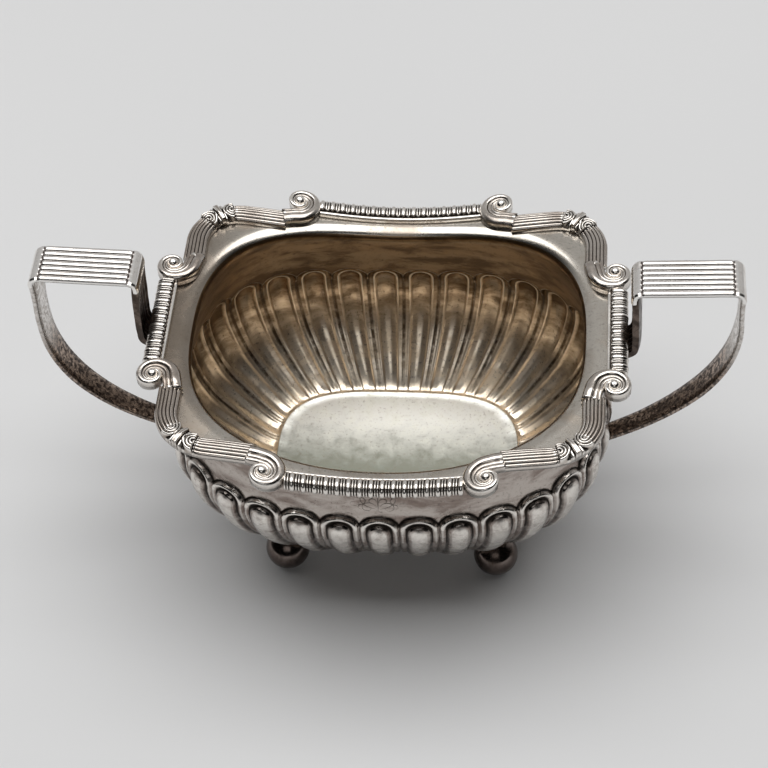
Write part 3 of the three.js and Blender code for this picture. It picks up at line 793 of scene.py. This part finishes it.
SPIRAL_START = 8.3  # radius on the bowl's side
SPIRAL_SHRINK = 0.177  # per radian
SPIRAL_TURN = 9.2  # radians from the bowl's side to the eye
SPIRAL_ROWS = 130
TAIL = 4.4  # length of the straight tail that meets the reeded corner
TAIL_SPREAD = 1.0  # how much further from the eye the band lies at the seam
EYE_RADIUS = 1.6
EYE_LEVEL = 0.75
EYE_SIDES = 28
SCROLL_REEDS = [(0.0, 0.2), (0.2, 0.44), (0.44, 1.0)]  # shares of the band's width
REED_POINTS = 13
CROWN = 0.55  # height of the band's round back
CROWN_WIDTH = 5.5  # the band's width at which the crown has its full height
SEAM_STEPS = [0.9, 0.45, -0.1]  # how far each reed goes past the seam


def reed_rows(reeds, points_per_reed):
    """Places across a reeded band, 0 to 1, and the height of the reeds there for a band 1 wide."""
    place, lift = [], []
    for start, end in reeds:
        t = np.linspace(-1, 1, points_per_reed)
        place.append((start + end) / 2 + t * (end - start) / 2 * 0.995)
        lift.append(np.sqrt(1 - t * t) * (end - start) / 2)
    return np.concatenate(place), np.concatenate(lift)


def spiral_radius(turn):
    return SPIRAL_START * np.exp(-SPIRAL_SHRINK * turn)


def scroll_body():
    """Plan about the eye: first axis towards the corner, second outwards from the bowl."""
    place, lift = reed_rows(SCROLL_REEDS, REED_POINTS)
    jag = np.repeat(SEAM_STEPS, REED_POINTS)
    rings = []
    stretch = [(TAIL - s, 0.0) for s in np.linspace(0, TAIL, 10)[:-1]]
    stretch += [(0.0, t) for t in np.linspace(0, SPIRAL_TURN, SPIRAL_ROWS)]
    for ahead, turn in stretch:
        share = ahead / TAIL
        outer = spiral_radius(turn) + TAIL_SPREAD * share
        inner = spiral_radius(turn + 2 * np.pi) + TAIL_SPREAD * share
        width = outer - inner
        direction = np.array([math.cos(-math.pi / 2 - turn), math.sin(-math.pi / 2 - turn)])
        radius = inner + place * width
        plan = radius[:, None] * direction
        plan[:, 0] += ahead + jag * smooth(share, 0.5, 1.0)
        wound = turn / SPIRAL_TURN
        crown = CROWN * (1 - ((place - 0.45) / 0.55) ** 2)
        top = 0.05 + EYE_LEVEL * wound + crown * width / CROWN_WIDTH + 0.8 * lift * min(width, 4.0)
        top -= 0.35 * smooth(share, 0.3, 1.0)
        upper = np.column_stack([plan, top])
        outer_side = [(*plan[-1], top[-1] - 0.5), (*plan[-1], FOOTING)]
        inner_side = [(*plan[0], FOOTING), (*plan[0], top[0] - 0.4)]
        rings.append(np.vstack([upper, outer_side, inner_side]))
    return loft(rings)


def eye_body():
    """The bead at the scroll's heart."""
    rings = []
    for up in np.linspace(-0.95, 0.985, 14):
        radius = EYE_RADIUS * math.sqrt(1 - up * up)
        turn = np.linspace(0, 2 * np.pi, EYE_SIDES, endpoint=False)
        height = np.full(EYE_SIDES, EYE_LEVEL + up * EYE_RADIUS * 1.05)
        rings.append(np.stack([radius * np.cos(turn), radius * np.sin(turn), height], 1))
    return loft(rings)


EYE_TO_EDGE = 4.8  # from a scroll's eye to its outer edge, and back to its edge on the run's side
EYE_TO_BACK = 6.1


def eye_places():
    """Eyes of the scrolls beside the long and short runs, from the frame's own boxes."""
    low, high = box_mm("scroll_long_back_right")
    long_eye = np.array([low[0] + EYE_TO_BACK, high[1] - EYE_TO_EDGE])
    low, high = box_mm("scroll_short_back_right")
    short_eye = np.array([high[0] - EYE_TO_EDGE, low[1] + EYE_TO_BACK])
    return long_eye, short_eye


LONG_EYE, SHORT_EYE = eye_places()


def make_scrolls():
    scroll = joined([scroll_body(), eye_body()])
    plans = {"long": lambda points: points + [*LONG_EYE, 0],
             "short": lambda points: points[:, [1, 0, 2]] + [*SHORT_EYE, 0]}
    for which, plan in plans.items():
        body = drape(moved(scroll, plan))
        for place, signs in QUADRANTS.items():
            name = f"volute_{which}_{place}"
            node = f"scroll_{which}_{place}"
            make_piece(name, mirrored(body, signs), MATERIALS["border"], [node])


make_scrolls()

# ---------------------------------------------------------------- reeded corners and ties

CORNER_CENTRE = np.array([47.6, 33.8])
CORNER_RADIUS = 12.8
CORNER_HALF_WIDTH = 3.15
CORNER_REEDS = 6
SCROLL_TAIL = 4.2  # from a scroll's eye to its seam with the reeds
TIE_ANGLE = math.radians(56)
TIE_HALF = 5.0
HOOP_CENTRE = 4.2  # from the tie's middle
HOOPS = [(2.65, 0.42, 0.65), (1.75, 0.38, 0.6), (0.9, 0.36, 0.5)]  # radius, half width, height
TIE_STEP = 0.3  # how far the edge of a tie's part takes to rise
SEAM_OVERLAP = 0.5
LONG_STRAIGHT = CORNER_CENTRE[0] - LONG_EYE[0] - SCROLL_TAIL
SHORT_STRAIGHT = CORNER_CENTRE[1] - SHORT_EYE[1] - SCROLL_TAIL
QUARTER_ARC = CORNER_RADIUS * math.pi / 2
CORNER_LENGTH = LONG_STRAIGHT + QUARTER_ARC + SHORT_STRAIGHT
TIE_PLACE = LONG_STRAIGHT + CORNER_RADIUS * (math.pi / 2 - TIE_ANGLE)


def corner_plan(distance, across):
    """Plan position on the corner moulding, from the long side's scroll to the short side's."""
    turned_by = np.clip((distance - LONG_STRAIGHT) / CORNER_RADIUS, 0, math.pi / 2)
    angle = math.pi / 2 - turned_by
    before = np.minimum(0, distance - LONG_STRAIGHT)
    after = np.maximum(0, distance - LONG_STRAIGHT - QUARTER_ARC)
    reach = CORNER_RADIUS + across
    x = CORNER_CENTRE[0] + reach * np.cos(angle) + before
    y = CORNER_CENTRE[1] + reach * np.sin(angle) - after
    return x, y


def moulding(height, start, end, columns, rows):
    """A moulding whose top is height(distance, share across), with straight sides."""
    share = np.linspace(-1, 1, columns)
    rings = []
    for distance in np.linspace(start, end, rows):
        spread = 1.06 - 0.1 * math.exp(-((distance - TIE_PLACE) / 7.0) ** 2)
        across = share * CORNER_HALF_WIDTH * spread
        x, y = corner_plan(distance, across)
        top = height(np.full(columns, distance), share)
        upper = np.column_stack([x, y, top])
        sides = [(x[-1], y[-1], FOOTING), (x[0], y[0], FOOTING)]
        rings.append(np.vstack([upper, sides]))
    return loft(rings)


def reeds_height(distance, share):
    place = ((share + 1) / 2 * CORNER_REEDS) % 1.0 * 2 - 1
    reed = np.sqrt(np.clip(1 - place * place, 0, 1))
    return -1.1 + 1.15 * (1 - share ** 2) + 0.5 * reed


def tie_height(distance, share):
    """A plain band between two cuffs of nested hoops that open towards the reeds."""
    ahead = distance - TIE_PLACE
    across = share * CORNER_HALF_WIDTH
    arch = 0.05 + 0.75 * (1 - share ** 2)
    to_hoop = np.hypot(np.abs(ahead) - HOOP_CENTRE, across * 0.95)
    in_hoops = smooth(3.1 - to_hoop, 0, TIE_STEP)
    cuff = np.maximum(in_hoops, smooth(2.0 - np.abs(ahead), 0, TIE_STEP))
    cuff = cuff * smooth(4.7 - np.abs(ahead), 0, TIE_STEP)
    rolls = sum(height * dome(to_hoop - radius, half) for radius, half, height in HOOPS)
    band = 1.05 * smooth(0.85 - np.abs(ahead), 0, TIE_STEP) + 0.1 * dome(ahead, 0.8)
    rib = 0.3 * dome(np.abs(ahead) - 1.3, 0.3)
    raised = arch + rolls + band + rib
    return reeds_height(distance, share) * (1 - cuff) + raised * cuff


def make_corners():
    corner_end = CORNER_LENGTH + SEAM_OVERLAP
    long_part = moulding(reeds_height, -SEAM_OVERLAP, TIE_PLACE - TIE_HALF, 73, 40)
    short_part = moulding(reeds_height, TIE_PLACE + TIE_HALF, corner_end, 73, 40)
    tie_part = moulding(tie_height, TIE_PLACE - TIE_HALF, TIE_PLACE + TIE_HALF, 61, 90)
    parts = [("reeding_long", "reeded_corner_long", long_part),
             ("reeding_short", "reeded_corner_short", short_part),
             ("tie", "corner_tie", tie_part)]
    for node, name, part in parts:
        body = drape(part)
        for place, signs in QUADRANTS.items():
            placed = mirrored(body, signs)
            nodes = [f"{node}_{place}"]
            make_piece(f"{name}_{place}", placed, MATERIALS["border"], nodes)


make_corners()

# ---------------------------------------------------------------- handles

# Lines are (x, z) places. The grip's runs outwards, the others run down to the body. The strap's
# third value is the share of its sag that a place gets.
GRIP_THICKNESS = 1.7
GRIP_HALF_WIDTH = 6.8
GRIP_REEDS = 7
REEDING = (73.05, 98.55)  # the grooves that end the grip's reeding
GRIP_LINE = [(70.9, 98.2), (70.95, 99.6), (71.5, 101.0), (72.8, 101.7), (74.5, 101.81), (79.0, 102.01),
             (85.0, 102.28), (91.0, 102.55), (97.0, 102.82), (99.0, 102.8), (100.5, 102.1), (101.1, 101.0),
             (101.3, 99.6)]
STRAP_LINE = [(101.05, 99.9, 0), (101.2, 94.0, 0), (101.6, 84.0, 0.1), (99.8, 72.0, 0.7), (94.5, 60.0, 1),
              (86.0, 49.5, 1), (76.0, 41.0, 0.7), (61.0, 31.9, 0)]
STRAP_HALF_WIDTHS = [6.6, 5.6, 4.9, 4.4, 3.8, 3.3, 3.0]
STRAP_THICKNESS = 1.5
STRAP_SAG = {"right": -0.6, "left": 2.6}
SHOULDER_LINE = [(71.2, 99.4), (71.6, 94.0), (71.8, 88.0), (72.0, 81.5), (71.6, 76.8), (68.4, 74.1),
                 (60.3, 73.2)]
SHOULDER_HALF_WIDTHS = [6.3, 6.5, 6.6, 6.3, 5.6, 4.8, 4.2]
SHOULDER_THICKNESS = 1.7
SHARP_EDGE = 55  # degrees


def handle_body(places, sections):
    """A closed body along a line, from sections of (across, up). Up is to the line's left."""
    step = np.gradient(places, axis=0)
    step /= np.linalg.norm(step, axis=1, keepdims=True)
    rings = []
    for (x, z), (dx, dz), section in zip(places, step, sections):
        across = section[:, :1] * np.array([0.0, 1.0, 0.0])
        rings.append(np.array([x, 0.0, z]) + across + section[:, 1:] * np.array([-dz, 0.0, dx]))
    return loft(rings)


def grip_section(x):
    """Reeded above between plain borders, flat below with rounded edges."""
    half = GRIP_HALF_WIDTH
    start, end = REEDING
    reeded = smooth(x, start - 0.15, start + 0.15) * (1 - smooth(x, end - 0.15, end + 0.15))
    t = np.linspace(-1, 1, GRIP_REEDS * 12 + 1)
    place = ((t + 1) / 2 * GRIP_REEDS) % 1.0 * 2 - 1
    reed = np.sqrt(np.clip(1 - place * place, 0, 1))
    border = 0.5 - 0.35 * smooth(np.abs(t), 0.88, 1.0)
    groove = -0.3 * (dome(x - start, 0.35) + dome(x - end, 0.35))
    top = 0.5 * GRIP_THICKNESS - 0.5 + reeded * 0.6 * reed + (1 - reeded) * border + groove
    upper = np.column_stack([t * half, top])
    lower = [(half + 0.05, 0.1), (half - 0.1, -0.6), (half - 0.5, -0.85), (0, -0.85), (-half + 0.5, -0.85),
             (-half + 0.1, -0.6), (-half - 0.05, 0.1)]
    return np.vstack([upper, lower])


def strap_section(share):
    """Flat inside, with a thin raised rail along each edge outside."""
    half = np.interp(share, np.linspace(0, 1, len(STRAP_HALF_WIDTHS)), STRAP_HALF_WIDTHS)
    t = np.linspace(-1, 1, 41)
    rail = 0.32 * dome((1 - np.abs(t)) * half - 0.45, 0.42)
    outside = np.column_stack([t * half, 0.5 * STRAP_THICKNESS - 0.3 + rail])
    inside = [(half, -0.3), (half - 0.25, -0.65), (half * 0.5, -0.72), (0, -0.75), (-half * 0.5, -0.72),
              (-half + 0.25, -0.65), (-half, -0.3)]
    return np.vstack([outside, inside])


def shoulder_section(share):
    """A cupped leaf with veins along it."""
    half = np.interp(share, np.linspace(0, 1, len(SHOULDER_HALF_WIDTHS)), SHOULDER_HALF_WIDTHS)
    t = np.linspace(-1, 1, 61)
    vein = np.abs(np.sin(t * 3.5 * math.pi))
    cup = -0.9 * (1 - t * t) * smooth(share, 0.02, 0.3)
    outside = np.column_stack([t * half, 0.5 * SHOULDER_THICKNESS + cup + 0.45 * vein - 0.3])
    back = np.linspace(1, -1, 15)
    inside = np.column_stack([back * (half - 0.1), -0.5 * SHOULDER_THICKNESS - 0.9 * (1 - back ** 2)])
    return np.vstack([outside, inside])


def make_handles():
    grip_places = through(GRIP_LINE, 110)
    grip = handle_body(grip_places, [grip_section(x) for x in grip_places[:, 0]])
    leaf_sections = [shoulder_section(share) for share in np.linspace(1, 0, 70)]
    leaf = handle_body(through(SHOULDER_LINE[::-1], 70), leaf_sections)
    strap_sections = [strap_section(share) for share in np.linspace(0, 1, 90)]
    for side, sign in (("right", 1.0), ("left", -1.0)):
        sag = STRAP_SAG[side]
        line = [(x + 0.5 * sag * share, z - sag * share) for x, z, share in STRAP_LINE]
        strap = handle_body(through(line, 90), strap_sections)
        parts = [("thumb_grip", grip, "grip", "handle_silver", "handle_grip"),
                 ("handle_band", strap, "strap", "tarnished_silver", "handle_strap"),
                 ("leaf_shoulder", leaf, "leaf", "tarnished_silver", "handle_shoulder")]
        for name, body, finish, slot, node in parts:
            placed = mirrored(body, (sign, sign))
            nodes = [f"{node}_{side}"]
            make_piece(f"{name}_{side}", placed, MATERIALS[finish], nodes, sharp=SHARP_EDGE)


make_handles()

# ---------------------------------------------------------------- feet


FOOT_SIDES = 64
FOOT_FLAT = 1.5  # radius of the flat that a foot stands on
FOOT_NECK = 2.4  # radius at which the ball ends under its collar


def lathe(profile):
    """Turned about the upright axis from a profile of (radius, height)."""
    turn = np.linspace(0, 2 * np.pi, FOOT_SIDES, endpoint=False)
    c, s = np.cos(turn), np.sin(turn)
    return loft([np.stack([r * c, r * s, np.full(FOOT_SIDES, z)], 1) for r, z in profile])


def make_feet():
    for place in QUADRANTS:
        low, high = box_mm(f"foot_ball_{place}")
        centre = np.append((low[:2] + high[:2]) / 2, 0)
        radius = (high[0] - low[0]) / 2 * 1.01
        middle = math.sqrt(radius ** 2 - FOOT_FLAT ** 2)
        angles = np.linspace(-math.acos(FOOT_FLAT / radius), math.acos(FOOT_NECK / radius), 40)
        ball = lathe([(radius * math.cos(a), middle + radius * math.sin(a)) for a in angles])
        low, high = box_mm(f"foot_collar_{place}")
        collar_profile = [(2.3, low[2] - 0.3), (2.7, low[2]), (3.1, low[2] + 0.45), (2.9, low[2] + 0.9),
                          (2.6, low[2] + 1.2), (2.7, high[2] - 0.2), (3.4, high[2] + 0.25)]
        collar = lathe(through(collar_profile, 26))
        parts = [("ball_foot", ball, f"foot_ball_{place}"), ("foot_neck", collar, f"foot_collar_{place}")]
        for name, body, node in parts:
            placed = moved(body, lambda points: points + centre)
            make_piece(f"{name}_{place}", placed, MATERIALS["foot"], [node])


make_feet()

# ---------------------------------------------------------------- studio


def point_at(thing, target):
    thing.rotation_mode = "QUATERNION"
    thing.rotation_quaternion = (Vector(target) - thing.location).to_track_quat("-Z", "Y")


FLOOR_HALF = 6.0  # metres


def plain_floor():
    material, tree, shader = new_material("pale_backdrop")
    place = add_node(tree, "ShaderNodeTexCoord").outputs["Object"]
    shade = ramp(tree, noise(tree, place, 2.0, detail=1.0), 0.3, 0.7)
    colour = blend_colours(tree, shade, (0.70, 0.70, 0.70), (0.73, 0.73, 0.73))
    link(tree, colour, shader.inputs["Base Color"])
    shader.inputs["Roughness"].default_value = 0.85
    mesh = bpy.data.meshes.new("studio_floor")
    corners = [(FLOOR_HALF * x, FLOOR_HALF * y, 0) for x, y in ((-1, -1), (1, -1), (1, 1), (-1, 1))]
    mesh.from_pydata(corners, [], [(0, 1, 2, 3)])
    mesh.materials.append(material)
    floor = bpy.data.objects.new("studio_floor", mesh)
    bpy.context.scene.collection.objects.link(floor)


def softbox(name, place, target, width, height, power):
    """A rectangular light, in metres and watts."""
    light = bpy.data.lights.new(name, "AREA")
    light.shape = "RECTANGLE"
    light.size = width
    light.size_y = height
    light.energy = power
    thing = bpy.data.objects.new(name, light)
    thing.location = place
    point_at(thing, target)
    bpy.context.scene.collection.objects.link(thing)


DARK_ROOM = 0.005  # the world's strength on the photographer's side
PALE_BACKDROP = 0.46  # and behind the bowl


def studio_lights():
    softbox("overhead_softbox", (-0.06, 0.17, 1.42), (-0.06, 0.17, 0.0), 2.0, 1.2, 22.5)
    softbox("front_card", (0.0, -1.02, 0.84), (0.0, 0.0, 0.04), 0.7, 0.5, 0.95)
    world = bpy.data.worlds.new("studio")
    world.use_nodes = True
    tree = world.node_tree
    direction = add_node(tree, "ShaderNodeSeparateXYZ")
    link(tree, add_node(tree, "ShaderNodeTexCoord").outputs["Generated"], direction.inputs[0])
    strength = ramp(tree, direction.outputs["Y"], 0.0, 0.6, DARK_ROOM, PALE_BACKDROP)
    background = tree.nodes["Background"]
    background.inputs["Color"].default_value = (1.0, 1.0, 1.0, 1)
    link(tree, strength, background.inputs["Strength"])
    bpy.context.scene.world = world


CAMERA_AZIMUTH = math.radians(7.29)
CAMERA_HEIGHT = math.radians(48.76)
CAMERA_ROLL = math.radians(-4.03)
CAMERA_DISTANCE = 665.7
CAMERA_TARGET = Vector((-2.92, 6.23, 46.89))
LENS = 102.33
SENSOR = 36


def make_camera():
    a, e = CAMERA_AZIMUTH, CAMERA_HEIGHT
    back = Vector((math.sin(a) * math.cos(e), -math.cos(a) * math.cos(e), math.sin(e)))
    data = bpy.data.cameras.new("camera")
    data.lens = LENS
    data.sensor_width = SENSOR
    data.clip_start = 0.05
    data.clip_end = 50
    camera = bpy.data.objects.new("camera", data)
    right = (-back).cross(Vector((0, 0, 1))).normalized()
    up = right.cross(-back)
    rolled_right = right * math.cos(CAMERA_ROLL) + up * math.sin(CAMERA_ROLL)
    rolled_up = up * math.cos(CAMERA_ROLL) - right * math.sin(CAMERA_ROLL)
    turn = Matrix((rolled_right, rolled_up, back)).transposed()
    camera.rotation_mode = "QUATERNION"
    camera.rotation_quaternion = turn.to_quaternion()
    camera.location = (CAMERA_TARGET + back * CAMERA_DISTANCE) * MM
    bpy.context.scene.collection.objects.link(camera)
    bpy.context.scene.camera = camera


plain_floor()
studio_lights()
make_camera()
bpy.context.scene.view_settings.view_transform = "Standard"
